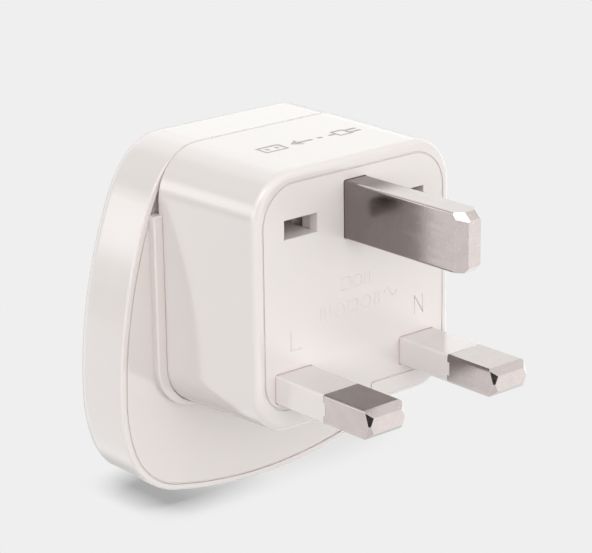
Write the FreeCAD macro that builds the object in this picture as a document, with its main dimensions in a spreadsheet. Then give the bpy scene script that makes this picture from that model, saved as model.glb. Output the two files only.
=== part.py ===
import FreeCAD, Part
import math
import os

# Universal travel adapter: a three-pin British plug block on the front of a
# shield-shaped case whose back is a universal socket with a sliding safety shutter.
# X is to the right seen from the pins, Y runs from the pins to the socket, Z is up.
# The origin is on the plug's front plate, midway between the line and neutral pins.

Vector = FreeCAD.Vector

SIZES = [
    # plug block
    ("block_depth", 19.3), ("block_front_half", 17.4), ("block_rear_half", 17.95),
    ("block_front_bottom", -6.4), ("block_rear_bottom", -7.2),
    ("block_front_top", 29.3), ("block_rear_top", 29.5), ("block_edge_round", 1.0),
    ("block_straight", 1.2),
    ("wall_front", 1.6), ("wall_rear", 3.4),
    ("cavity_half", 15.2), ("cavity_bottom", -5.0), ("cavity_top", 27.3),
    ("neck_end", 20.5), ("flange_end", 22.4), ("flange_inset", 1.0),
    # front plate
    ("plate_half", 15.9), ("plate_bottom", -3.15), ("plate_top", 27.55),
    ("plate_seam", 0.22), ("seam_depth", 0.1), ("seam_fit", 0.01), ("tab_half", 2.6),
    ("window_inner", 6.7), ("window_outer", 12.4), ("window_low", 20.2), ("window_high", 22.8),
    ("arm_end", 6.6),
    # shield-shaped case
    ("case_flat_half", 10.5), ("case_front", 19.6), ("case_rear", 30.2), ("case_edge_round", 2.5),
    ("lip_round", 0.3), ("lip_inset", 0.85), ("case_wall", 2.0), ("case_back_inside", 28.4),
    ("cover_front", 19.65), ("cover_back", 20.4), ("cover_inset", 0.87), ("cover_seam", 0.22),
    ("collar_front", 18.5), ("collar_half", 19.4), ("collar_bottom", -7.6), ("collar_top", 20.75),
    ("collar_round", 0.25),
    ("post_across", 19.6), ("post_height", -12.8),
    ("scoop_depth", 0.5), ("scoop_back", 30.4), ("scoop_front", 21.5),
    # pins
    ("pin_spacing_half", 11.11), ("earth_height", 22.225),
    ("pin_wide", 6.35), ("pin_thick", 4.0), ("pin_reach", 18.2), ("pin_tip", 1.1),
    ("earth_wide", 4.0), ("earth_tall", 8.0), ("earth_reach", 22.25), ("earth_tip", 1.3),
    ("earth_corner", 2.1), ("pin_corner", 0.9),
    ("sleeve_length", 9.4), ("core_wide", 5.0), ("core_thick", 2.7), ("edge_soft", 0.35),
    ("key_half", 0.95), ("key_depth", 0.4),
    ("shoulder_front", 3.5), ("shoulder_back", 5.5), ("tail_end", 7.7), ("tail_radius", 2.0),
    # contacts and their carrier
    ("carrier_front", 5.6), ("carrier_floor", 7.6), ("carrier_back", 22.6),
    ("contact_front", 7.75), ("contact_back", 22.0), ("strip", 0.5),
    ("chamber_inner", 5.2), ("chamber_outer", 14.4), ("chamber_half", 4.0),
    ("rivet_radius", 0.85), ("rivet_head_radius", 1.7), ("rivet_head", 0.8),
    # socket plate
    ("socket_face", 29.4), ("socket_step", 28.4), ("socket_back", 27.0),
    ("socket_half", 15.6), ("socket_bottom", -9.0), ("socket_top", 27.0),
    # shutter and guide
    ("guide_front", 22.8), ("guide_floor", 24.2), ("guide_back", 26.95),
    ("guide_half", 16.9), ("guide_bottom", -17.0), ("guide_top", 8.4),
    ("track_half", 15.5), ("track_bottom", -14.6), ("track_top", 5.0),
    ("shutter_front", 24.5), ("shutter_back", 26.7), ("shutter_half", 15.3),
    ("shutter_bottom", -4.6), ("shutter_top", 4.9), ("slot_top", 2.0),
    ("spring_across", 2.9), ("spring_depth", 25.6), ("coil_radius", 1.0), ("wire_radius", 0.2),
    ("spring_turns", 12.0),
    # screws
    ("screw_head_radius", 2.4), ("screw_shank_radius", 1.25),
    ("small_head_radius", 1.1), ("small_shank_radius", 0.7),
]


def make_sheet(doc):
    sheet = doc.addObject("Spreadsheet::Sheet", "Sizes")
    for row, (alias, value) in enumerate(SIZES, 1):
        sheet.set("A%d" % row, alias)
        sheet.set("B%d" % row, str(value))
        sheet.setAlias("B%d" % row, alias)
    doc.recompute()
    return sheet


doc = FreeCAD.newDocument("travel_adapter")
sheet = make_sheet(doc)
size = {alias: float(sheet.get(alias)) for alias, _ in SIZES}


# ---------------------------------------------------------------- outlines

def line(a, b):
    return Part.LineSegment(Vector(a[0], a[1], 0), Vector(b[0], b[1], 0))


def polygon(points):
    return [line(a, b) for a, b in zip(points, points[1:] + points[:1])]


def rectangle(x0, x1, z0, z1):
    return polygon([(x0, z0), (x1, z0), (x1, z1), (x0, z1)])


def corner(cx, cz, radius, start):
    """Quarter arc about (cx, cz), from the angle start, in degrees."""
    circle = Part.Circle(Vector(cx, cz, 0), Vector(0, 0, 1), radius)
    return Part.ArcOfCircle(circle, math.radians(start), math.radians(start + 90))


def rounded(x0, x1, z0, z1, low, high):
    """Rectangle whose two lower corners have radius low and two upper ones high."""
    return [
        line((x0 + low, z0), (x1 - low, z0)), corner(x1 - low, z0 + low, low, 270),
        line((x1, z0 + low), (x1, z1 - high)), corner(x1 - high, z1 - high, high, 0),
        line((x1 - high, z1), (x0 + high, z1)), corner(x0 + high, z1 - high, high, 90),
        line((x0, z1 - high), (x0, z0 + low)), corner(x0 + low, z0 + low, low, 180),
    ]


def circle_at(x, z, radius):
    return [Part.Circle(Vector(x, z, 0), Vector(0, 0, 1), radius)]


# radius and turn, in degrees, of each arc of the case outline, from the flat top downwards
CASE_ARCS = [(8.0, 47.0), (16.5, 20.0), (71.0, 23.0), (23.0, 18.0), (10.8, 58.0)]


def arc(centre, radius, start, end):
    circle = Part.Circle(centre, Vector(0, 0, 1), radius)
    return Part.ArcOfCircle(circle, math.radians(start), math.radians(end))


def case_chain(inset):
    """Centre, radius and headings of each right-hand arc, and the point where the last ends."""
    point = Vector(size["case_flat_half"], size["block_rear_top"] - inset, 0)
    heading = 0.0
    chain = []
    for full_radius, turn in CASE_ARCS:
        radius = full_radius - inset
        start, end = math.radians(heading), math.radians(heading + turn)
        centre = point - Vector(math.sin(start), math.cos(start), 0) * radius
        chain.append((centre, radius, heading, heading + turn))
        point = centre + Vector(math.sin(end), math.cos(end), 0) * radius
        heading += turn
    return chain, point


def shield(inset):
    """Case outline, moved inwards by inset: a flat top, arcs down each side and a last arc."""
    chain, low = case_chain(inset)
    flat, top = size["case_flat_half"], size["block_rear_top"] - inset
    curves = [line((-flat, top), (flat, top))]
    for centre, radius, first, last in chain:
        mirrored = Vector(-centre.x, centre.y, 0)
        curves.append(arc(centre, radius, 90 - last, 90 - first))
        curves.append(arc(mirrored, radius, 90 + first, 90 + last))
    heading = chain[-1][3]
    radius = low.x / math.sin(math.radians(heading))
    centre = low - Vector(low.x, radius * math.cos(math.radians(heading)), 0)
    curves.append(arc(centre, radius, 90 + heading, 450 - heading))
    return curves


# ---------------------------------------------------------------- features

ROLES = {"XZ": "XZ_Plane", "YZ": "YZ_Plane", "XY": "XY_Plane"}


def new_body(label):
    body = doc.addObject("PartDesign::Body", label)
    body.Label = label
    return body


def sketch(body, curves, at="0", plane="XZ"):
    """Sketch on a plane of the body, moved along that plane's axis to the expression at."""
    origin = [f for f in body.Origin.OriginFeatures if f.Role == ROLES[plane]][0]
    item = body.newObject("Sketcher::SketchObject", "Outline")
    item.AttachmentSupport = [(origin, "")]
    item.MapMode = "FlatFace"
    # the XZ plane's own axis points to -Y
    item.setExpression("AttachmentOffset.Base.z", "-(%s)" % at if plane == "XZ" else at)
    item.addGeometry(curves, False)
    doc.recompute()
    return item


def grow(body, curves, start, end, plane="XZ"):
    """Pad from one position to another along the plane's axis; both are expressions."""
    pad = body.newObject("PartDesign::Pad", "Pad")
    pad.Profile = sketch(body, curves, start, plane)
    pad.setExpression("Length", "(%s) - (%s)" % (end, start))
    pad.Reversed = plane == "XZ"
    doc.recompute()
    return pad


def cut(body, curves, start, end, plane="XZ"):
    """Pocket from one position to another along the plane's axis; both are expressions."""
    before = body.Shape.Volume
    pocket = body.newObject("PartDesign::Pocket", "Pocket")
    pocket.Profile = sketch(body, curves, start, plane)
    pocket.setExpression("Length", "(%s) - (%s)" % (end, start))
    pocket.Reversed = plane != "XZ"
    doc.recompute()
    if body.Shape.Volume >= before - 1e-6:
        raise ValueError("a pocket of %s takes nothing away" % body.Label)
    return pocket


def loft(body, first, first_at, second, second_at):
    feature = body.newObject("PartDesign::AdditiveLoft", "Loft")
    feature.Profile = sketch(body, first, first_at)
    feature.Sections = [sketch(body, second, second_at)]
    feature.Ruled = True
    doc.recompute()
    return feature


def edges_where(shape, test):
    return ["Edge%d" % (i + 1) for i, edge in enumerate(shape.Edges) if test(edge)]


def round_edges(body, radius, test):
    """Fillet the edges that pass the test; radius is an expression."""
    base = body.Tip
    fillet = body.newObject("PartDesign::Fillet", "Fillet")
    fillet.Base = (base, edges_where(base.Shape, test))
    fillet.setExpression("Radius", radius)
    doc.recompute()
    return fillet


def lies_at(y):
    """Test for edges that lie in the plane at depth y."""
    def test(edge):
        box = edge.BoundBox
        return abs(box.YMin - y) < 1e-4 and abs(box.YMax - y) < 1e-4
    return test


def block(label, x0, x1, y0, y1, z0, z1):
    box = doc.addObject("Part::Box", label)
    box.Length, box.Width, box.Height = x1 - x0, y1 - y0, z1 - z0
    box.Placement = FreeCAD.Placement(Vector(x0, y0, z0), FreeCAD.Rotation())
    return box


def rod(label, radius, x, z, y0, y1):
    """Cylinder along Y; radius is an expression."""
    item = doc.addObject("Part::Cylinder", label)
    item.setExpression("Radius", radius)
    item.Height = y1 - y0
    item.Placement = FreeCAD.Placement(Vector(x, y0, z), FreeCAD.Rotation(Vector(1, 0, 0), -90))
    return item


def fuse(label, items):
    joined = doc.addObject("Part::MultiFuse", label)
    joined.Shapes = items
    return joined


def group(label, items):
    bundle = doc.addObject("Part::Compound", label)
    bundle.Links = items
    bundle.Label = label
    doc.recompute()
    return bundle


# ---------------------------------------------------------------- sub-parts

def pin_openings(extra):
    """Outlines round the three pins, extra millimetres clear of them all round."""
    s = size
    outlines = []
    for side in (-1, 1):
        x = side * s["pin_spacing_half"]
        outlines.append(rounded(x - s["pin_wide"] / 2 - extra, x + s["pin_wide"] / 2 + extra,
                                -s["pin_thick"] / 2 - extra, s["pin_thick"] / 2 + extra,
                                s["edge_soft"], s["edge_soft"]))
    outlines.append(rounded(-s["earth_wide"] / 2 - extra, s["earth_wide"] / 2 + extra,
                            s["earth_height"] - s["earth_tall"] / 2 - extra,
                            s["earth_height"] + s["earth_tall"] / 2 + extra,
                            s["edge_soft"], s["edge_soft"]))
    return [curve for outline in outlines for curve in outline]


def window_pair(margin, low, high):
    inner = size["window_inner"] - margin
    outer = size["window_outer"] + margin
    return rectangle(inner, outer, low, high) + rectangle(-outer, -inner, low, high)


def plug_housing():
    """Hollow plug block with a flange at its back that closes the case's mouth."""
    s = size
    body = new_body("plug_housing")
    front = rounded(-s["block_front_half"], s["block_front_half"],
                    s["block_front_bottom"], s["block_front_top"], 5.6, 6.6)
    rear = rounded(-s["block_rear_half"], s["block_rear_half"],
                   s["block_rear_bottom"], s["block_rear_top"], 6.2, 7.0)
    grow(body, front, "0", "Sizes.block_straight")
    round_edges(body, "Sizes.block_edge_round", lies_at(0))
    loft(body, front, "Sizes.block_straight", rear, "Sizes.block_depth")
    grow(body, rounded(-16.65, 16.65, -6.3, 28.2, 5.2, 5.7), "Sizes.block_depth", "Sizes.neck_end")
    grow(body, shield(s["flange_inset"]), "Sizes.neck_end", "Sizes.flange_end")
    plate_seat(body, s["plate_seam"], "0", "Sizes.seam_depth")
    plate_seat(body, s["seam_fit"], "Sizes.seam_depth", "Sizes.wall_front")
    cut(body, rounded(-s["cavity_half"], s["cavity_half"], s["cavity_bottom"], s["cavity_top"],
                      3.0, 4.0), "Sizes.wall_rear", "Sizes.flange_end")
    cut(body, pin_openings(0.05), "Sizes.wall_front", "Sizes.wall_rear")
    cut(body, window_pair(0.3, 19.0, 23.0), "Sizes.wall_front", "Sizes.wall_rear")
    # counterbored holes for the case screws
    for radius, end in ((2.6, "Sizes.neck_end + 1"), (1.4, "Sizes.flange_end")):
        holes = circle_at(s["post_across"], s["post_height"], radius)
        holes += circle_at(-s["post_across"], s["post_height"], radius)
        cut(body, holes, "Sizes.neck_end", end)
    return body


def plate_seat(body, gap, start, end):
    """Recess for the front plate and its tab, a gap wider than them all round."""
    s = size
    half = s["plate_half"] + gap
    cut(body, rounded(-half, half, s["plate_bottom"] - gap, s["plate_top"] + gap,
                      3.9 + gap, 5.5 + gap), start, end)
    tab = s["tab_half"] + gap
    cut(body, rectangle(-tab, tab, s["block_rear_bottom"] - 1, s["plate_bottom"] + 1), start, end)


def face_plate():
    """Flush front plate: pin holes, two latch windows, a latch arm under each, and a tab."""
    s = size
    body = new_body("face_plate")
    grow(body, rounded(-s["plate_half"], s["plate_half"], s["plate_bottom"], s["plate_top"],
                       3.9, 5.5), "0", "Sizes.wall_front")
    grow(body, rectangle(-s["tab_half"], s["tab_half"], s["block_front_bottom"], 0),
         "0", "Sizes.wall_front")
    bottom = s["block_front_bottom"]
    round_edges(body, "0.9", lambda e: lies_at(0)(e) and abs(e.BoundBox.ZMax - bottom) < 1e-4)
    cut(body, pin_openings(0.05), "0", "Sizes.wall_front")
    cut(body, window_pair(0, s["window_low"], s["window_high"]), "0", "Sizes.wall_front")
    grow(body, window_pair(0, 19.15, s["window_low"]), "Sizes.wall_front - 0.2", "Sizes.arm_end")
    grow(body, window_pair(0, 18.4, 19.4), "Sizes.wall_rear + 0.1", "Sizes.wall_rear + 1.3")
    return body


def flange_cover():
    """U-shaped cover round the block's sides and bottom, with a low collar along its cut-out."""
    s = size
    body = new_body("flange_cover")
    grow(body, shield(s["cover_inset"]), "Sizes.cover_front + Sizes.seam_depth",
         "Sizes.cover_back")
    grow(body, shield(s["cover_inset"] + s["cover_seam"]), "Sizes.cover_front",
         "Sizes.cover_front + Sizes.seam_depth + 0.1")
    grow(body, rounded(-s["collar_half"], s["collar_half"], s["collar_bottom"], 24.0, 6.5, 0.5),
         "Sizes.collar_front", "Sizes.cover_front + 0.5")
    cut(body, rectangle(-30, 30, s["collar_top"], 45), "Sizes.collar_front", "Sizes.cover_back")
    round_edges(body, "Sizes.collar_round", lies_at(s["collar_front"]))
    cut(body, rounded(-17.98, 17.98, -7.23, 40.0, 6.2, 1.0), "Sizes.collar_front",
        "Sizes.cover_back")
    return body


def rear_case():
    """Shield-shaped cup: lip at the front, socket aperture and screw posts at the back."""
    s = size
    body = new_body("rear_case")
    grow(body, shield(0), "Sizes.case_front", "Sizes.case_rear")
    round_edges(body, "Sizes.case_edge_round", lies_at(s["case_rear"]))
    round_edges(body, "Sizes.lip_round", lies_at(s["case_front"]))
    cut(body, shield(s["lip_inset"]), "Sizes.case_front", "Sizes.flange_end")
    cut(body, shield(s["case_wall"]), "Sizes.flange_end", "Sizes.case_back_inside")
    cut(body, rounded(-s["socket_half"], s["socket_half"], s["socket_bottom"], s["socket_top"],
                      5.0, 6.6), "Sizes.case_back_inside", "Sizes.case_rear")
    posts = circle_at(s["post_across"], s["post_height"], 2.3)
    posts += circle_at(-s["post_across"], s["post_height"], 2.3)
    grow(body, posts, "Sizes.flange_end + 0.1", "Sizes.case_back_inside + 0.5")
    bores = circle_at(s["post_across"], s["post_height"], s["screw_shank_radius"] + 0.05)
    bores += circle_at(-s["post_across"], s["post_height"], s["screw_shank_radius"] + 0.05)
    cut(body, bores, "Sizes.flange_end + 0.1", "Sizes.case_back_inside - 0.4")
    for side in (-1, 1):
        corner_scoop(body, side)
    return body


def corner_scoop(body, side):
    """Finger scoop across a lower corner of the case, open at the back and fading forwards."""
    centre, radius = case_chain(0)[0][-1][:2]
    sections = []
    for depth, place in ((size["scoop_depth"], "Sizes.scoop_back"), (-0.05, "Sizes.scoop_front")):
        corners = [(133, radius - depth), (160, radius + 0.1), (160, radius + 2), (133, radius + 2)]
        points = []
        for degrees, reach in corners:
            heading = math.radians(degrees)
            points.append((side * (centre.x + reach * math.sin(heading)),
                           centre.y + reach * math.cos(heading)))
        sections.append(sketch(body, polygon(points), place))
    scoop = body.newObject("PartDesign::SubtractiveLoft", "Scoop")
    scoop.Profile = sections[0]
    scoop.Sections = [sections[1]]
    scoop.Ruled = True
    doc.recompute()


def slanted(cx, cz, length, width, degrees):
    """Rectangle about (cx, cz), its long side leaning over by the angle."""
    angle = math.radians(degrees)
    along = (math.sin(angle), math.cos(angle))
    across = (math.cos(angle), -math.sin(angle))
    points = []
    for i, j in ((-1, -1), (1, -1), (1, 1), (-1, 1)):
        points.append((cx + i * across[0] * width / 2 + j * along[0] * length / 2,
                       cz + i * across[1] * width / 2 + j * along[1] * length / 2))
    return polygon(points)


def socket_plate():
    """Stepped plate in the aperture, with holes for rectangular, round and blade pins."""
    s = size
    body = new_body("socket_plate")
    grow(body, rounded(-s["guide_half"], s["guide_half"], s["guide_bottom"], 27.35, 4.0, 8.0),
         "Sizes.socket_back", "Sizes.socket_step")
    grow(body, rounded(-s["socket_half"] + 0.1, s["socket_half"] - 0.1, s["socket_bottom"] + 0.1,
                       s["socket_top"] - 0.1, 4.9, 6.5), "Sizes.socket_step", "Sizes.socket_face")
    for side in (-1, 1):
        round_pin = side * 9.5
        rect = sorted((side * 7.5, side * 14.7))
        blade = sorted((side * 5.3, side * 7.6))
        cut(body, rounded(rect[0], rect[1], -2.35, 2.35, 0.3, 0.3),
            "Sizes.socket_back", "Sizes.socket_face")
        cut(body, circle_at(round_pin, 0, 2.6), "Sizes.socket_back", "Sizes.socket_face")
        cut(body, rectangle(blade[0], blade[1], -3.75, 3.75),
            "Sizes.socket_back", "Sizes.socket_face")
        cut(body, slanted(side * 6.9, 0, 7.4, 2.1, side * 30),
            "Sizes.socket_back", "Sizes.socket_face")
    cut(body, rounded(-2.35, 2.35, 8.7, 26.4, 0.6, 0.3), "Sizes.socket_back", "Sizes.socket_face")
    cut(body, circle_at(0, 11.9, 2.9), "Sizes.socket_back", "Sizes.socket_face")
    screw_holes = [curve for x, z in guide_screw_places() for curve in circle_at(x, z, 0.75)]
    cut(body, screw_holes, "Sizes.socket_back", "28.2")
    return body


def slope_faces(body, middle, half, end_half, reach, length, across, plane):
    """Slope two opposite faces of a pin in towards its tip, from half to end_half."""
    start, front = length - reach, -reach - 0.5
    slope = (half - end_half) / length
    for sign in (-1, 1):
        near = (start, middle + sign * half)
        tip = (front, middle + sign * (end_half - 0.5 * slope))
        outside = [(front, middle + sign * (half + 0.5)), (start, middle + sign * (half + 0.5))]
        points = [near, tip] + outside
        if plane == "XY":
            points = [(v, y) for y, v in points]
        cut(body, polygon(points), str(across[0]), str(across[1]), plane)


def corner_section(body, corner_x, corner_z, signs, legs, ratio, place):
    """Triangle over a corner of a pin, with its long side legs away from the corner."""
    margin = 0.3
    far_x = corner_x + signs[0] * margin
    far_z = corner_z + signs[1] * margin
    leg_x = legs[0] + margin * (1 + ratio)
    leg_z = legs[1] + margin * (1 + 1 / ratio)
    return sketch(body, polygon([(far_x, far_z), (far_x - signs[0] * leg_x, far_z),
                                 (far_x, far_z - signs[1] * leg_z)]), place)


def cut_corners(body, centre, halves, reach, length, legs):
    """Plane cuts over a pin's four corners; legs are their size at the tip."""
    ratio = legs[0] / legs[1]
    over = 1 + 0.2 / length
    front_legs = (legs[0] * over, legs[1] * over)
    for signs in ((-1, -1), (-1, 1), (1, -1), (1, 1)):
        x = centre[0] + signs[0] * halves[0]
        z = centre[1] + signs[1] * halves[1]
        front = corner_section(body, x, z, signs, front_legs, ratio, str(-reach - 0.2))
        back = corner_section(body, x, z, signs, (0, 0), ratio, str(length - reach))
        removed = body.newObject("PartDesign::SubtractiveLoft", "CornerCut")
        removed.Profile = front
        removed.Sections = [back]
        removed.Ruled = True
        doc.recompute()


def live_pin(label, side):
    """Line or neutral pin: full section at the tip, thinner core under the sleeve."""
    s = size
    body = new_body(label)
    x = side * s["pin_spacing_half"]
    wide, thick, soft = s["pin_wide"] / 2, s["pin_thick"] / 2, s["edge_soft"]
    full = rounded(x - wide, x + wide, -thick, thick, soft, soft)
    grow(body, full, "-Sizes.pin_reach", "-Sizes.sleeve_length")
    slope_faces(body, 0, thick, 1.1, s["pin_reach"], s["pin_tip"], (x - 4, x + 4), "YZ")
    cut_corners(body, (x, 0), (wide, thick), s["pin_reach"], s["pin_corner"], (1.2, 2.6))
    core = rectangle(x - s["core_wide"] / 2, x + s["core_wide"] / 2,
                     -s["core_thick"] / 2, s["core_thick"] / 2)
    grow(body, core, "-Sizes.sleeve_length", "Sizes.shoulder_front")
    grow(body, rounded(x - 4.0, x + 4.0, -3.0, 3.0, 0.5, 0.5), "Sizes.shoulder_front",
         "Sizes.shoulder_back")
    grow(body, circle_at(x, 0, s["tail_radius"]), "Sizes.shoulder_back", "Sizes.tail_end")
    edge = s["core_wide"] / 2
    keys = rectangle(x + edge, x + wide + 0.5, -s["key_half"], s["key_half"])
    keys += rectangle(x - wide - 0.5, x - edge, -s["key_half"], s["key_half"])
    cut(body, keys, "-Sizes.sleeve_length - Sizes.key_depth", "-Sizes.sleeve_length")
    cut(body, circle_at(x, 0, s["rivet_radius"]), "Sizes.tail_end - 3.5", "Sizes.tail_end")
    return body


def pin_sleeve(label, side):
    """Insulating sleeve, keyed into the metal tip at mid height on both sides."""
    s = size
    body = new_body(label)
    x = side * s["pin_spacing_half"]
    wide, thick, soft = s["pin_wide"] / 2, s["pin_thick"] / 2, s["edge_soft"]
    grow(body, rounded(x - wide, x + wide, -thick, thick, soft, soft),
         "-Sizes.sleeve_length", "Sizes.wall_rear")
    edge = s["core_wide"] / 2 + 0.01
    lift = s["core_thick"] / 2 + 0.01
    cut(body, rectangle(x - edge, x + edge, -lift, lift), "-Sizes.sleeve_length",
        "Sizes.wall_rear")
    key = s["key_half"] - 0.01
    keys = rectangle(x + edge, x + wide, -key, key) + rectangle(x - wide, x - edge, -key, key)
    grow(body, keys, "0.01 - Sizes.sleeve_length - Sizes.key_depth", "0.1 - Sizes.sleeve_length")
    return body


def earth_pin():
    """Solid earth pin, longer than the others, with a tapered tip."""
    s = size
    body = new_body("earth_pin")
    wide, tall, z = s["earth_wide"] / 2, s["earth_tall"] / 2, s["earth_height"]
    full = rounded(-wide, wide, z - tall, z + tall, s["edge_soft"], s["edge_soft"])
    grow(body, full, "-Sizes.earth_reach", "Sizes.shoulder_front")
    slope_faces(body, 0, wide, 1.05, s["earth_reach"], s["earth_tip"], (z - 5, z + 5), "XY")
    slope_faces(body, z, tall, 3.1, s["earth_reach"], 0.9, (-3, 3), "YZ")
    cut_corners(body, (0, z), (wide, tall), s["earth_reach"], s["earth_corner"], (1.9, 2.3))
    grow(body, rounded(-3.2, 3.2, z - 4.6, z + 4.6, 0.5, 0.5), "Sizes.shoulder_front",
         "Sizes.shoulder_back")
    grow(body, circle_at(0, z, s["tail_radius"]), "Sizes.shoulder_back", "Sizes.tail_end")
    cut(body, circle_at(0, z, s["rivet_radius"]), "Sizes.tail_end - 3.5", "Sizes.tail_end")
    return body


def leaf_pair(base_half, pinch_half, mouth_half):
    """Cross-section of a folded spring strip, open to the back: two bent leaves on a base."""
    front, back, strip = size["contact_front"], size["contact_back"], size["strip"]
    pinch = back - 3.5
    outer = [(front, base_half), (pinch, pinch_half + strip), (back, mouth_half + strip)]
    inner = [(back, mouth_half), (pinch, pinch_half), (front + strip, base_half - strip)]
    upper = outer + inner
    lower = [(y, -v) for y, v in reversed(upper)]
    return upper + lower


def live_contact(label, side):
    """Folded brass contact that grips a line or neutral pin from above and below."""
    s = size
    body = new_body(label)
    x0, x1 = sorted((side * 5.6, side * 14.0))
    grow(body, polygon(leaf_pair(3.4, 1.6, 3.0)), str(x0), str(x1), "YZ")
    cut(body, circle_at(side * s["pin_spacing_half"], 0, s["rivet_radius"] + 0.02),
        "Sizes.contact_front", "Sizes.contact_front + Sizes.strip")
    return body


def earth_contact():
    """Folded brass contact that grips the earth pin from both sides."""
    body = new_body("earth_contact")
    profile = [(v, y) for y, v in leaf_pair(3.2, 1.5, 2.6)]
    grow(body, polygon(profile), "9.2", "26.0", "XY")
    cut(body, circle_at(0, size["earth_height"], size["rivet_radius"] + 0.02),
        "Sizes.contact_front", "Sizes.contact_front + Sizes.strip")
    return body


def pin_places():
    s = size
    return [(-s["pin_spacing_half"], 0.0), (s["pin_spacing_half"], 0.0), (0.0, s["earth_height"])]


def contact_carrier():
    """Insulating block with one chamber for each contact."""
    s = size
    body = new_body("contact_carrier")
    grow(body, rounded(-15.0, 15.0, -4.8, 27.1, 2.8, 3.8), "Sizes.carrier_front",
         "Sizes.carrier_back")
    half = s["chamber_half"]
    chambers = rectangle(s["chamber_inner"], s["chamber_outer"], -half, half)
    chambers += rectangle(-s["chamber_outer"], -s["chamber_inner"], -half, half)
    chambers += rectangle(-3.6, 3.6, 8.6, 26.4)
    cut(body, chambers, "Sizes.carrier_floor", "Sizes.carrier_back")
    holes = [curve for x, z in pin_places() for curve in circle_at(x, z, s["tail_radius"] + 0.1)]
    cut(body, holes, "Sizes.carrier_front", "Sizes.carrier_floor")
    cut(body, window_pair(0.4, 17.8, 23.4), "Sizes.carrier_front", "Sizes.arm_end + 0.6")
    return body


def contact_rivets():
    """One rivet through each contact's base into the tail of its pin."""
    s = size
    top = s["contact_front"] + s["strip"]
    rivets = []
    for x, z in pin_places():
        shank = rod("Shank", "Sizes.rivet_radius - 0.01", x, z, s["tail_end"] - 3.4, top + 0.1)
        head = rod("Head", "Sizes.rivet_head_radius", x, z, top, top + s["rivet_head"])
        rivets.append(fuse("Rivet", [shank, head]))
    return group("contact_rivets", rivets)


def guide_screw_places():
    return [(-12.6, 6.75), (12.6, 6.75), (-13.0, -15.75), (13.0, -15.75)]


def shutter_guide():
    """Tray on the back of the socket plate, in which the shutter slides up and down."""
    s = size
    body = new_body("shutter_guide")
    half = s["guide_half"]
    grow(body, rounded(-half, half, s["guide_bottom"], s["guide_top"], 4.0, 1.0),
         "Sizes.guide_front", "Sizes.guide_back")
    cut(body, rectangle(-s["track_half"], s["track_half"], s["track_bottom"], s["track_top"]),
        "Sizes.guide_floor", "Sizes.guide_back")
    windows = rectangle(s["chamber_inner"], s["chamber_outer"] + 0.4, -3.9, 3.9)
    windows += rectangle(-s["chamber_outer"] - 0.4, -s["chamber_inner"], -3.9, 3.9)
    cut(body, windows, "Sizes.guide_front", "Sizes.guide_floor")
    heads = [c for x, z in guide_screw_places() for c in circle_at(x, z, 1.15)]
    cut(body, heads, "Sizes.guide_front", "Sizes.guide_front + 0.9")
    shanks = [c for x, z in guide_screw_places() for c in circle_at(x, z, 0.75)]
    cut(body, shanks, "Sizes.guide_front + 0.9", "Sizes.guide_back")
    return body


def safety_shutter():
    """Slider that closes the line and neutral holes; its ramp lets two pins push it down."""
    s = size
    body = new_body("safety_shutter")
    grow(body, rectangle(-s["shutter_half"], s["shutter_half"], s["shutter_bottom"],
                         s["shutter_top"]), "Sizes.shutter_front", "Sizes.shutter_back")
    slots = rectangle(1.5, 4.3, s["shutter_bottom"] - 1, s["slot_top"])
    slots += rectangle(-4.3, -1.5, s["shutter_bottom"] - 1, s["slot_top"])
    cut(body, slots, "Sizes.shutter_front", "Sizes.shutter_back")
    ramp = [(s["shutter_back"] + 1, -3.4), (s["shutter_back"] + 1, s["shutter_top"] + 1),
            (s["shutter_front"] + 0.4, s["shutter_top"] + 1),
            (s["shutter_front"] + 0.6, s["shutter_top"]), (s["shutter_back"], -3.4)]
    cut(body, polygon(ramp), "-Sizes.shutter_half", "Sizes.shutter_half", "YZ")
    return body


def shutter_springs():
    """Two compression springs between the guide's lower wall and the shutter's slots."""
    s = size
    low = s["track_bottom"] + s["wire_radius"] + 0.05
    high = s["slot_top"] - s["wire_radius"] - 0.05
    springs = []
    for side in (-1, 1):
        centre = Vector(side * s["spring_across"], s["spring_depth"], low)
        helix = doc.addObject("Part::Helix", "Coil")
        helix.setExpression("Radius", "Sizes.coil_radius")
        helix.Height = high - low
        helix.Pitch = (high - low) / s["spring_turns"]
        helix.Placement = FreeCAD.Placement(centre, FreeCAD.Rotation())
        wire = doc.addObject("Part::Circle", "Wire")
        wire.setExpression("Radius", "Sizes.wire_radius")
        wire.Placement = FreeCAD.Placement(centre + Vector(s["coil_radius"], 0, 0),
                                           FreeCAD.Rotation(Vector(1, 0, 0), 90))
        sweep = doc.addObject("Part::Sweep", "Spring")
        sweep.Sections = [wire]
        sweep.Spine = (helix, [])
        sweep.Solid = True
        sweep.Frenet = True
        springs.append(sweep)
    return group("shutter_springs", springs)


def crossed_screw(x, z, seat, thick, length, head_radius, shank_radius):
    """Screw whose head stands on the plane at depth seat, towards the front."""
    head = rod("Head", head_radius, x, z, seat - thick, seat)
    shank = rod("Shank", shank_radius, x, z, seat - 0.1, seat + length)
    whole = fuse("Blank", [head, shank])
    arm = size["small_head_radius"] * 0.7
    front = seat - thick - 0.1
    cross = fuse("Cross", [block("Bar", x - arm, x + arm, front, front + 0.5, z - 0.2, z + 0.2),
                           block("Bar", x - 0.2, x + 0.2, front, front + 0.5, z - arm, z + arm)])
    screw = doc.addObject("Part::Cut", "Screw")
    screw.Base = whole
    screw.Tool = cross
    return screw


def case_screws():
    """Two screws through the block's flange into the case's posts, under the cover."""
    s = size
    screws = [crossed_screw(side * s["post_across"], s["post_height"], s["neck_end"] + 1.0, 0.95,
                            5.6, "Sizes.screw_head_radius", "Sizes.screw_shank_radius")
              for side in (-1, 1)]
    return group("case_screws", screws)


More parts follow.
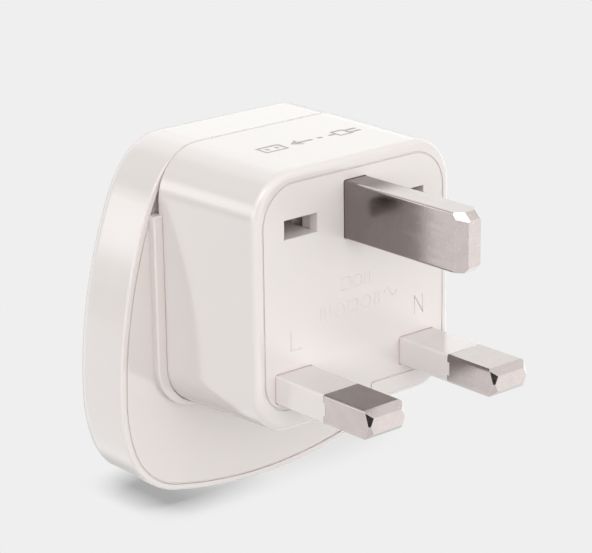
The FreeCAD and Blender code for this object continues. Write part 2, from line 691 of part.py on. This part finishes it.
def guide_screws():
    """Four small screws that hold the shutter guide to the socket plate."""
    screws = [crossed_screw(x, z, size["guide_front"] + 0.9, 0.8, 4.4,
                            "Sizes.small_head_radius", "Sizes.small_shank_radius")
              for x, z in guide_screw_places()]
    return group("guide_screws", screws)


# ---------------------------------------------------------------- output

NODES = [
    plug_housing(), face_plate(), flange_cover(), rear_case(), socket_plate(),
    earth_pin(), live_pin("line_pin", -1), live_pin("neutral_pin", 1),
    pin_sleeve("line_pin_sleeve", -1), pin_sleeve("neutral_pin_sleeve", 1),
    earth_contact(), live_contact("line_contact", -1), live_contact("neutral_contact", 1),
    contact_carrier(), contact_rivets(), shutter_guide(), safety_shutter(), shutter_springs(),
    case_screws(), guide_screws(),
]

doc.recompute()
for item in doc.Objects:
    if "Invalid" in item.State or "Error" in item.State:
        raise ValueError("%s did not build: %s" % (item.Name, item.State))
for node in NODES:
    shape = node.Shape
    if shape.isNull() or not shape.isValid() or not shape.Solids:
        raise ValueError("%s has no valid solid" % node.Label)

os.makedirs("parts", exist_ok=True)
for node in NODES:
    node.Shape.exportStep("parts/%s.step" % node.Label)
    box = node.Shape.BoundBox
    print("%-20s %d solid(s) %9.1f mm3  X %.2f..%.2f  Y %.2f..%.2f  Z %.2f..%.2f" % (
        node.Label, len(node.Shape.Solids), node.Shape.Volume,
        box.XMin, box.XMax, box.YMin, box.YMax, box.ZMin, box.ZMax))
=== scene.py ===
import math

import bpy
from mathutils import Matrix, Vector


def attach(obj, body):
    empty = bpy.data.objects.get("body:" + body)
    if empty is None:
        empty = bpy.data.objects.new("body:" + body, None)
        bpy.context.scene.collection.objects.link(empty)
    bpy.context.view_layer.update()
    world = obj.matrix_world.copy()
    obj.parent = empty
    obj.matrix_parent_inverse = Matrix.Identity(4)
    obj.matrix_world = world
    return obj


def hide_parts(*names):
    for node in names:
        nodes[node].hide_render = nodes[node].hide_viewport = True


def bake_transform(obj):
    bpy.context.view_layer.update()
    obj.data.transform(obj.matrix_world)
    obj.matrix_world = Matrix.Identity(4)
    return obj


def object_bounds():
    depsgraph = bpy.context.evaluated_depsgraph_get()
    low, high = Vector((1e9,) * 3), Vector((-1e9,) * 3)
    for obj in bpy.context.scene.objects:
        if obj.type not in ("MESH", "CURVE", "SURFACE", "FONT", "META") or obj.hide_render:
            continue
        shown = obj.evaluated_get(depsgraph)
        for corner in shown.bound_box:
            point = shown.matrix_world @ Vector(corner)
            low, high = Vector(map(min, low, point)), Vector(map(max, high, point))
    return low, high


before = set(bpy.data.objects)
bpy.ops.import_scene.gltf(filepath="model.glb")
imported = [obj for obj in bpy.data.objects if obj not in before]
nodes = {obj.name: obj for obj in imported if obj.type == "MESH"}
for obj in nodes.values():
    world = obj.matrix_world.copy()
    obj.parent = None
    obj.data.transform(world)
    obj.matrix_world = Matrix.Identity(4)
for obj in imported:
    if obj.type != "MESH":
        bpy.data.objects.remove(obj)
cad_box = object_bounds()
MM = 0.001


# ------------------------------------------------------------------ shader nodes

MIX_FACTOR, MIX_FIRST, MIX_SECOND, MIX_RESULT = 0, 6, 7, 2    # the Mix node's sockets for colours
EDGE_COSINES = (0.75, 0.98)    # turn of the rounded normal, from a full edge to none
GAP_SHADE_OPENNESS = (0.1, 0.75)     # share of the surroundings left open, from a full gap to none, for the painted shade in gaps


def new_material(name):
    """Material that holds only a Principled shader and its output."""
    material = bpy.data.materials.new(name)
    material.use_nodes = True
    tree = material.node_tree
    tree.nodes.clear()
    output = tree.nodes.new("ShaderNodeOutputMaterial")
    shader = tree.nodes.new("ShaderNodeBsdfPrincipled")
    tree.links.new(shader.outputs[0], output.inputs["Surface"])
    return material, tree, shader


def plug_in(tree, value, target):
    """Link value to the socket if it is an output, or set it there if it is a constant."""
    if isinstance(value, bpy.types.NodeSocket):
        tree.links.new(value, target)
    elif isinstance(value, tuple):
        target.default_value = (*value, 1)[:len(target.default_value)]
    else:
        target.default_value = value


def noise(tree, scale, detail=3.0, stretch=(1, 1, 1)):
    """Noise in the object's own coordinates, with about scale patches to the metre."""
    coords = tree.nodes.new("ShaderNodeTexCoord")
    mapping = tree.nodes.new("ShaderNodeMapping")
    mapping.inputs["Scale"].default_value = stretch
    tree.links.new(coords.outputs["Object"], mapping.inputs["Vector"])
    texture = tree.nodes.new("ShaderNodeTexNoise")
    texture.inputs["Scale"].default_value = scale
    texture.inputs["Detail"].default_value = detail
    tree.links.new(mapping.outputs[0], texture.inputs["Vector"])
    return texture.outputs["Fac"]


def span(tree, value, low, high, start=0.3, end=0.7):
    """Map value, from the range start to end, to the range low to high.

    The default start and end are the range that most of a noise lies in.
    """
    node = tree.nodes.new("ShaderNodeMapRange")
    node.inputs["From Min"].default_value = start
    node.inputs["From Max"].default_value = end
    node.inputs["To Min"].default_value = low
    node.inputs["To Max"].default_value = high
    plug_in(tree, value, node.inputs["Value"])
    return node.outputs[0]


def blend_colours(tree, factor, first, second):
    """First where factor is 0, second where it is 1."""
    node = tree.nodes.new("ShaderNodeMix")
    node.data_type = "RGBA"
    plug_in(tree, factor, node.inputs[MIX_FACTOR])
    plug_in(tree, first, node.inputs[MIX_FIRST])
    plug_in(tree, second, node.inputs[MIX_SECOND])
    return node.outputs[MIX_RESULT]


def calculate(tree, operation, *values):
    node = tree.nodes.new("ShaderNodeMath")
    node.operation = operation
    for index, value in enumerate(values):
        plug_in(tree, value, node.inputs[index])
    return node.outputs[0]


def dot(tree, first, second):
    node = tree.nodes.new("ShaderNodeVectorMath")
    node.operation = "DOT_PRODUCT"
    plug_in(tree, first, node.inputs[0])
    plug_in(tree, second, node.inputs[1])
    return node.outputs["Value"]


def soft_edges(tree, radius):
    """Normal that is rounded over each edge, and a mask that is 1 on the edge itself."""
    bevel = tree.nodes.new("ShaderNodeBevel")
    bevel.samples = 4
    bevel.inputs["Radius"].default_value = radius
    geometry = tree.nodes.new("ShaderNodeNewGeometry")
    facing = dot(tree, bevel.outputs[0], geometry.outputs["Normal"])
    return bevel.outputs[0], span(tree, facing, 1.0, 0.0, *EDGE_COSINES)


def painted_gap_shade(tree, reach):
    """Mask of painted shade: 1 deep in gaps and inner corners and 0 on open faces."""
    node = tree.nodes.new("ShaderNodeAmbientOcclusion")
    node.samples = 8
    node.inputs["Distance"].default_value = reach
    return span(tree, node.outputs["AO"], 1.0, 0.0, *GAP_SHADE_OPENNESS)


def bump(tree, shader, height, strength, distance, normal):
    node = tree.nodes.new("ShaderNodeBump")
    node.inputs["Strength"].default_value = strength
    node.inputs["Distance"].default_value = distance
    plug_in(tree, height, node.inputs["Height"])
    plug_in(tree, normal, node.inputs["Normal"])
    plug_in(tree, node.outputs[0], shader.inputs["Normal"])


def tinted(colour, tint):
    """Colour times tint, part by part, no part over 1."""
    return tuple(min(1.0, t * c) for c, t in zip(colour, tint))


# ------------------------------------------------------------------ materials

PLASTIC_IOR = 1.46
PLASTIC_EDGE = 0.12 * MM
CLOUD_TINT = (0.985, 0.985, 0.985)
RUBBED_TINT = (1.02, 1.02, 1.02)
# painted shade in gaps and inner corners: its tint, and how far it looks for closed surroundings
GAP_SHADE_TINT = (0.92, 0.85, 0.86)
GAP_SHADE_REACH = 2 * MM

METAL_EDGE = 0.1 * MM
DULL_TINT = (0.93, 0.93, 0.93)
BRIGHT_TINT = (1.5, 1.5, 1.5)
SPECK_RANGE = (0.62, 0.74)         # only the highest peaks of the noise are specks
SPECK_COVER = 0.45
DRAWN = (1.0, 0.08, 1.0)           # stretches the noise into lines along the depth
LINES_IN_GRAIN = 0.4

INK_PALER_TINT = (1.35, 1.35, 1.35)
INK_COVER_RANGE = (0.45, 0.75)
INK_ROUGHNESS = (0.3, 0.45)


def plastic(name, colour, rough=(0.1, 0.15)):
    """Moulded plastic: faint clouding, uneven gloss, painted shade that darkens and warms gaps and
    inner corners, and slightly paler edges.
    """
    material, tree, shader = new_material(name)
    normal, edge = soft_edges(tree, PLASTIC_EDGE)
    clouds = span(tree, noise(tree, 90.0, 2.0), 0.0, 1.0)
    body = blend_colours(tree, clouds, colour, tinted(colour, CLOUD_TINT))
    body = blend_colours(tree, edge, body, tinted(colour, RUBBED_TINT))
    # painted shade: darker, warmer colour where the surroundings are closed, in gaps and inner
    # corners
    body = blend_colours(tree, painted_gap_shade(tree, GAP_SHADE_REACH), body, tinted(colour, GAP_SHADE_TINT))
    plug_in(tree, body, shader.inputs["Base Color"])
    plug_in(tree, span(tree, noise(tree, 300.0, 4.0), *rough), shader.inputs["Roughness"])
    shader.inputs["IOR"].default_value = PLASTIC_IOR
    bump(tree, shader, noise(tree, 1400.0, 2.0), 0.05, 0.01 * MM, normal)
    return material


def metal(name, colour, rough, relief):
    """Plated metal: fine specks, faint drawing lines along the depth and brighter edges."""
    material, tree, shader = new_material(name)
    normal, edge = soft_edges(tree, METAL_EDGE)
    bright = tinted(colour, BRIGHT_TINT)
    patches = span(tree, noise(tree, 500.0, 3.0), 0.0, 1.0)
    body = blend_colours(tree, patches, colour, tinted(colour, DULL_TINT))
    specks = span(tree, noise(tree, 4200.0, 2.0), 0.0, 1.0, *SPECK_RANGE)
    body = blend_colours(tree, calculate(tree, "MULTIPLY", specks, SPECK_COVER), body, bright)
    plug_in(tree, blend_colours(tree, edge, body, bright), shader.inputs["Base Color"])
    lines = noise(tree, 1600.0, 3.0, DRAWN)
    plug_in(tree, span(tree, lines, *rough), shader.inputs["Roughness"])
    shader.inputs["Metallic"].default_value = 1.0
    grain = calculate(tree, "ADD", noise(tree, 3600.0, 3.0),
                      calculate(tree, "MULTIPLY", lines, LINES_IN_GRAIN))
    bump(tree, shader, grain, relief, 0.02 * MM, normal)
    return material


def ink(name, colour):
    """Thin printed mark, slightly uneven in cover."""
    material, tree, shader = new_material(name)
    cover = span(tree, noise(tree, 4000.0, 3.0), 0.0, 1.0, *INK_COVER_RANGE)
    body = blend_colours(tree, cover, colour, tinted(colour, INK_PALER_TINT))
    plug_in(tree, body, shader.inputs["Base Color"])
    plug_in(tree, span(tree, noise(tree, 900.0), *INK_ROUGHNESS), shader.inputs["Roughness"])
    return material


SHELL = plastic("shell_plastic", (0.757, 0.707, 0.683))
# painted shade: the cover's plastic is darker than the shell's, for the shade that the block throws
# on it
COVER = plastic("cover_plastic", (0.724, 0.671, 0.646))
# painted light: the plate's plastic is paler than the shell's, to lift the shade that the pins throw
# on it
PLATE = plastic("plate_plastic", (0.766, 0.717, 0.692), (0.3, 0.38))
SLEEVE = plastic("sleeve_plastic", (0.785, 0.735, 0.713), (0.18, 0.26))
# painted light: the inner plastic is paler, to lift the shade deep in the latch windows
INNER = plastic("inner_plastic", (0.78, 0.70, 0.68), (0.3, 0.4))
SHUTTER = plastic("shutter_plastic", (0.6, 0.56, 0.54), (0.25, 0.35))
PLATING = metal("pin_plating", (0.252, 0.222, 0.217), (0.14, 0.22), 0.25)
BRASS = metal("contact_brass", (0.6, 0.42, 0.19), (0.2, 0.3), 0.1)
STEEL = metal("steel", (0.42, 0.42, 0.43), (0.2, 0.3), 0.1)
INK = ink("grey_ink", (0.27, 0.235, 0.228))

FINISH = {
    "plug_housing": SHELL, "face_plate": PLATE, "flange_cover": COVER, "rear_case": SHELL,
    "socket_plate": SHELL, "line_pin_sleeve": SLEEVE, "neutral_pin_sleeve": SLEEVE,
    "earth_pin": PLATING, "line_pin": PLATING, "neutral_pin": PLATING,
    "earth_contact": BRASS, "line_contact": BRASS, "neutral_contact": BRASS,
    "contact_rivets": BRASS, "contact_carrier": INNER, "shutter_guide": INNER,
    "safety_shutter": SHUTTER, "shutter_springs": STEEL, "case_screws": STEEL,
    "guide_screws": STEEL,
}


def dress(item, material):
    """Give the whole object one material."""
    slots = item.data.materials
    for index in range(len(slots)):
        slots[index] = material
    if not slots:
        slots.append(material)


for node_name, finish in FINISH.items():
    dress(nodes[node_name], finish)


# ------------------------------------------------------------------ springs

def sprung_coils():
    """The shutter's two springs: a copy of their CAD node, in its place, with the node itself hidden.
    """
    coils = bpy.data.objects.new("return_springs", nodes["shutter_springs"].data.copy())
    bpy.context.scene.collection.objects.link(coils)
    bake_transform(coils)
    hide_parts("shutter_springs")


sprung_coils()


# ------------------------------------------------------------------ marks

# All in mm. The front plate's face is the plane y = 0.
MARK_SUNK = 0.02                   # depth of a plate mark's centre line below the plate's face
LETTER_STROKE = 0.13               # stroke radii
ROW_STROKE = 0.11
SIGN_STROKE = 0.26
INK_THICKNESS = 0.05               # height of the printed strokes, as a share of their width
TOP_RISE, TOP_RUN = 0.2, 18.1      # rise of the block's top towards the back, and its depth
TOP_FRONT_Y, TOP_FRONT_Z = 1.2, 29.3
SIGN_X, SIGN_Y = 0.4, 9.75
SIGN_PROUD = 0.01
ARC_STEP = 15                      # degrees


def ring(cx, cy, radius, first=0.0, last=360.0):
    """Points along an arc, anticlockwise, in mark coordinates."""
    steps = max(4, round(abs(last - first) / ARC_STEP))
    angles = [math.radians(first + (last - first) * k / steps) for k in range(steps + 1)]
    return [(cx + radius * math.cos(a), cy + radius * math.sin(a)) for a in angles]


def box_path(x0, x1, y0, y1):
    """Outline of an upright rectangle, in mark coordinates."""
    return [(x0, y0), (x1, y0), (x1, y1), (x0, y1), (x0, y0)]


def upright(x, low, high):
    """One vertical stroke, in mark coordinates."""
    return [(x, low), (x, high)]


def strokes(name, paths, radius, place, material):
    """Round strokes along each path; place turns mark coordinates, in mm, to the CAD frame."""
    curve = bpy.data.curves.new(name, "CURVE")
    curve.dimensions = "3D"
    curve.bevel_depth = radius * MM
    curve.bevel_resolution = 2
    curve.use_fill_caps = True
    for path in paths:
        spline = curve.splines.new("POLY")
        spline.points.add(len(path) - 1)
        for point, (u, v) in zip(spline.points, path):
            point.co = (u * MM, v * MM, 0, 1)
    item = bpy.data.objects.new(name, curve)
    bpy.context.scene.collection.objects.link(item)
    item.matrix_world = place
    dress(item, material)
    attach(item, "adapter")


def plate_marks():
    """Raised L and N beside their pins, and two rows of plain strokes and shapes."""
    outwards = Matrix(((1, 0, 0, 0), (0, 0, -1, MARK_SUNK * MM), (0, 1, 0, 0), (0, 0, 0, 1)))
    letter_l = [[(-11.5, 7.6), (-11.5, 4.8), (-9.7, 4.8)]]
    letter_n = [[(10.8, 4.8), (10.8, 7.4), (12.3, 4.8), (12.3, 7.4)]]
    strokes("mark_l", letter_l, LETTER_STROKE, outwards, PLATE)
    strokes("mark_n", letter_n, LETTER_STROKE, outwards, PLATE)
    upper = [box_path(-2.5, -1.0, 11.2, 12.8), ring(0.3, 12.0, 0.8)]
    upper += [upright(x, 11.2, 12.8) for x in (1.6, 2.5)]
    lower = [upright(x, 7.8, 9.5) for x in (-6.3, -5.5, -4.7)]
    lower += [ring(-3.0, 8.7, 0.85), box_path(-1.4, 0.2, 7.9, 9.5), ring(1.8, 8.7, 0.85)]
    lower += [upright(x, 7.9, 9.6) for x in (3.4, 4.2)]
    lower += [ring(5.7, 9.1, 0.55, 180, 0) + ring(6.8, 9.1, 0.55, 180, 360)]
    strokes("mark_rows", upper + lower, ROW_STROKE, outwards, PLATE)


def top_mark():
    """Printed sign on the block's top, read from the back: a plug, an arrow and a socket."""
    slope = math.atan2(TOP_RISE, TOP_RUN)
    turn = Matrix.Rotation(slope, 4, "X") @ Matrix.Rotation(math.pi, 4, "Z")
    height = TOP_FRONT_Z + (SIGN_Y - TOP_FRONT_Y) * math.tan(slope) + SIGN_PROUD
    centre = Vector((SIGN_X, SIGN_Y, height)) * MM
    flat = Matrix.Diagonal((1, 1, INK_THICKNESS, 1))
    plug = [box_path(-6.9, -4.9, -1.0, 1.0), [(-8.9, 0.55), (-6.9, 0.55)],
            [(-8.9, -0.55), (-6.9, -0.55)], [(-4.9, 0), (-3.6, 0)]]
    arrow = [[(-2.4, 0), (-1.6, 0)], [(-0.6, 0), (2.9, 0)], [(1.6, 0.95), (2.9, 0), (1.6, -0.95)]]
    holder = [box_path(4.6, 8.2, -1.1, 1.1), upright(5.6, -0.3, 0.3), upright(7.2, -0.3, 0.3)]
    place = Matrix.Translation(centre) @ turn @ flat
    strokes("top_sign", plug + arrow + holder, SIGN_STROKE, place, INK)


plate_marks()
top_mark()


# ------------------------------------------------------------------ floor

FLOOR_SIZE = 8                     # metres
FLOOR_SEEN = 0.862                 # brightness of the floor in the picture
FLOOR_LIT = 0.42                   # and the light that it throws on the object
SHADOW_REACH = 8 * MM
SHADOW_DEPTH = 0.54
SHADOW_OPENNESS = (0.5, 0.92)      # share of the surroundings left open, from full shadow to none
RIGHT_FADE = (-0.015, 0.0)         # x, in metres, over which the shadow weakens to the right
RIGHT_SHADOW = 0.2                 # what is left of it there
LEFT_FADE = (-0.023, -0.017)       # x over which it fades in from the left


def add_floor(height):
    """Pale floor that glows evenly, darker only right beside what stands on it."""
    bpy.ops.mesh.primitive_plane_add(size=FLOOR_SIZE, location=(0, 0, height))
    floor = bpy.context.object
    floor.name = "floor"
    floor.visible_glossy = False
    material, tree, shader = new_material("floor_paper")
    shader.inputs["Base Color"].default_value = (0, 0, 0, 1)
    shader.inputs["Roughness"].default_value = 1.0
    shader.inputs["Specular IOR Level"].default_value = 0.0
    shadow = tree.nodes.new("ShaderNodeAmbientOcclusion")
    shadow.samples = 16
    shadow.inputs["Distance"].default_value = SHADOW_REACH
    split = tree.nodes.new("ShaderNodeSeparateXYZ")
    tree.links.new(tree.nodes.new("ShaderNodeTexCoord").outputs["Object"], split.inputs[0])
    x = split.outputs["X"]
    amount = calculate(tree, "MULTIPLY", span(tree, x, 1.0, RIGHT_SHADOW, *RIGHT_FADE),
                       span(tree, x, 0.0, 1.0, *LEFT_FADE))
    closed = span(tree, shadow.outputs["AO"], SHADOW_DEPTH, 0.0, *SHADOW_OPENNESS)
    shade = calculate(tree, "MULTIPLY", closed, amount)
    seen = tree.nodes.new("ShaderNodeLightPath").outputs["Is Camera Ray"]
    level = span(tree, seen, FLOOR_LIT, FLOOR_SEEN, 0.0, 1.0)
    glow = calculate(tree, "MULTIPLY", calculate(tree, "SUBTRACT", 1.0, shade), level)
    shader.inputs["Emission Color"].default_value = (1, 1, 1, 1)
    plug_in(tree, glow, shader.inputs["Emission Strength"])
    floor.data.materials.append(material)


# ------------------------------------------------------------------ tent and light

FRONT_LIGHT = (-0.48, -0.87, -0.1)     # towards the object's front left, where the light is strongest
FRONT_STRENGTH = 2.65
ABOVE_LOSS = 0.74                      # how much weaker the soft light is from straight above
TENT_WHITE = (1.15, 1.17, 1.155)

# The tent's walls, as reflections see them: brightness by height, from straight down to straight up.
TENT_LEVELS = [(-1.0, 2.0), (-0.75, 2.0), (-0.5, 2.1), (-0.3, 2.1), (-0.17, 2.1), (-0.05, 1.8),
               (0.31, 1.75), (0.5, 2.4), (1.0, 2.3)]
RAMP_WHITE = 5.0                       # brightness that the ramp's value 1 stands for

# Bright panel on the left: the heights where it starts and ends, and its right side.
PANEL_STRENGTH = 2.3
PANEL_BOTTOM, PANEL_TOP = (0.03, 0.09), (0.27, 0.36)
PANEL_SIDE = (-0.6, -0.45)

# Soft round patches: their direction, the cosines at their rim and at their full part, and the
# factor on the walls' brightness there. Each is where one kind of face finds its reflection.
TENT_PATCHES = [
    ((0.45, 0.80, -0.40), 0.80, 0.93, 0.34),
    ((0.62, -0.16, 0.77), 0.86, 0.97, 0.95),
    ((-0.60, -0.40, 0.69), 0.93, 0.97, 2.6),
    ((-0.60, -0.75, 0.27), 0.91, 0.955, 0.02),
    ((0.62, -0.72, -0.31), 0.85, 0.97, 1.3),
    ((-0.40, 0.72, 0.56), 0.90, 0.98, 0.6),
    ((-0.686, 0.723, -0.08), 0.9955, 0.9993, 0.5),
]


def lobe(tree, direction, towards, edge, full, value):
    """Factor that is 1 outside a cone about towards and reaches value inside it."""
    length = math.sqrt(sum(c * c for c in towards))
    near = dot(tree, direction, tuple(c / length for c in towards))
    return span(tree, near, 1.0, value, edge, full)


def wall_brightness(tree, height):
    """Brightness of the tent's plain walls at a height from -1 to 1."""
    ramp = tree.nodes.new("ShaderNodeValToRGB")
    stops = ramp.color_ramp.elements
    for place, _ in TENT_LEVELS[1:-1]:
        stops.new((place + 1) / 2)
    for stop, (_, level) in zip(stops, TENT_LEVELS):
        stop.color = (level / RAMP_WHITE, level / RAMP_WHITE, level / RAMP_WHITE, 1)
    tree.links.new(span(tree, height, 0.0, 1.0, -1.0, 1.0), ramp.inputs[0])
    return calculate(tree, "MULTIPLY", ramp.outputs[0], RAMP_WHITE)


def tent_brightness(tree, direction):
    """Brightness of the tent, with its panel and patches, as reflections see it."""
    split = tree.nodes.new("ShaderNodeSeparateXYZ")
    tree.links.new(direction, split.inputs[0])
    x, z = split.outputs["X"], split.outputs["Z"]
    level = wall_brightness(tree, z)
    panel = calculate(tree, "MULTIPLY", span(tree, z, 0.0, 1.0, *PANEL_BOTTOM),
                      span(tree, z, 1.0, 0.0, *PANEL_TOP))
    panel = calculate(tree, "MULTIPLY", panel, span(tree, x, 1.0, 0.0, *PANEL_SIDE))
    level = calculate(tree, "MULTIPLY_ADD", panel, PANEL_STRENGTH, level)
    for patch in TENT_PATCHES:
        level = calculate(tree, "MULTIPLY", level, lobe(tree, direction, *patch))
    return level


def add_world():
    """White tent: soft light, strongest from the front left, and walls that reflections see.

    Light that reaches a dull surface by way of a glossy one is the soft light too, so the walls'
    uneven brightness shows only in what mirrors them.
    """
    world = bpy.data.worlds.new("studio")
    bpy.context.scene.world = world
    world.use_nodes = True
    tree = world.node_tree
    direction = tree.nodes.new("ShaderNodeTexCoord").outputs["Generated"]
    soft = tree.nodes["Background"]
    soft.inputs["Color"].default_value = (1, 1, 1, 1)
    front = lobe(tree, direction, FRONT_LIGHT, 0.0, 1.0, FRONT_STRENGTH)
    above = span(tree, dot(tree, direction, (0.0, 0.0, 1.0)), 0.0, ABOVE_LOSS, 0.0, 1.0)
    plug_in(tree, calculate(tree, "SUBTRACT", front, above), soft.inputs["Strength"])
    walls = tree.nodes.new("ShaderNodeBackground")
    walls.inputs["Color"].default_value = (*TENT_WHITE, 1)
    plug_in(tree, tent_brightness(tree, direction), walls.inputs["Strength"])
    rays = tree.nodes.new("ShaderNodeLightPath")
    direct = calculate(tree, "LESS_THAN", rays.outputs["Diffuse Depth"], 0.5)
    mix = tree.nodes.new("ShaderNodeMixShader")
    plug_in(tree, calculate(tree, "MULTIPLY", rays.outputs["Is Glossy Ray"], direct), mix.inputs[0])
    tree.links.new(soft.outputs[0], mix.inputs[1])
    tree.links.new(walls.outputs[0], mix.inputs[2])
    tree.links.new(mix.outputs[0], tree.nodes["World Output"].inputs["Surface"])


# ------------------------------------------------------------------ camera

FOCAL_LENGTH = 142.68                                # mm, on a sensor 36 mm wide
CAMERA_PLACE = (-0.19946, -0.22100, 0.10963)         # metres, in the CAD frame
CAMERA_RIGHT = Vector((0.75708, -0.65317, -0.01369))
CAMERA_DOWN = Vector((-0.21226, -0.22610, -0.95070))
CAMERA_AHEAD = Vector((0.61788, 0.72267, -0.30982))


def add_camera():
    camera = bpy.data.cameras.new("camera")
    camera.lens = FOCAL_LENGTH
    camera.sensor_width = 36
    camera.clip_start = 0.01
    camera.clip_end = 20
    item = bpy.data.objects.new("camera", camera)
    bpy.context.scene.collection.objects.link(item)
    turn = Matrix((CAMERA_RIGHT, -CAMERA_DOWN, -CAMERA_AHEAD)).transposed()
    item.matrix_world = Matrix.Translation(CAMERA_PLACE) @ turn.to_4x4()
    bpy.context.scene.camera = item


add_floor(cad_box[0].z)
add_world()
add_camera()
bpy.context.scene.view_settings.view_transform = "Standard"
